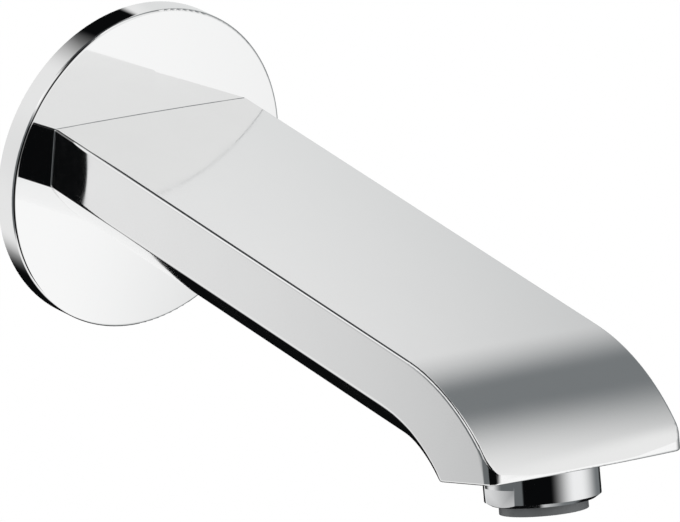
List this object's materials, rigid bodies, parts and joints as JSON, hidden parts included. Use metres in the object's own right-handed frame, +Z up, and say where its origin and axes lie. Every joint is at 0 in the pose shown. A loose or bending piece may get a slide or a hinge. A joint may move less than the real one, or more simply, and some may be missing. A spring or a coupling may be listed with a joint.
{
  "type": "bath spout",
  "caption": "Wall-mounted bath spout in polished chrome: round flat wall flange, flat-topped spout bending down to a bowed lip, and a screw-in aerator under it.",
  "frame": {"origin": "on the inlet axis, in the plane of the finished wall that the flange lies against", "axes": "+Z up, -Y out of the wall along the spout, +X to the right when facing the wall"},
  "size_m": [0.08, 0.1949, 0.08],
  "materials": {
    "spout_chrome": "mirror-polished chrome plate on cast brass",
    "flange_chrome": "mirror-polished chrome plate on turned brass",
    "aerator_chrome": "polished chrome plate with fine turning marks",
    "nipple_brass": "machined brass, cut thread",
    "screw_steel": "plain stainless steel",
    "seal_rubber": "black moulded rubber",
    "gasket_foam": "closed-cell black foam",
    "sleeve_plastic": "grey moulded plastic, fine matt",
    "grid_plastic": "grey moulded plastic, fine matt",
    "insert_plastic": "white moulded plastic"
  },
  "bodies": {
    "root": {"spout_body": "spout_chrome", "wall_flange": "flange_chrome", "flange_gasket": "gasket_foam", "wall_nipple": "nipple_brass", "front_o_ring": "seal_rubber", "rear_o_ring": "seal_rubber", "set_screw": "screw_steel", "aerator_housing": "aerator_chrome", "aerator_seal": "seal_rubber", "aerator_sleeve": "sleeve_plastic", "jet_plate": "insert_plastic", "strainer": "insert_plastic", "outlet_grid": "grid_plastic"}
  },
  "joints": []
}
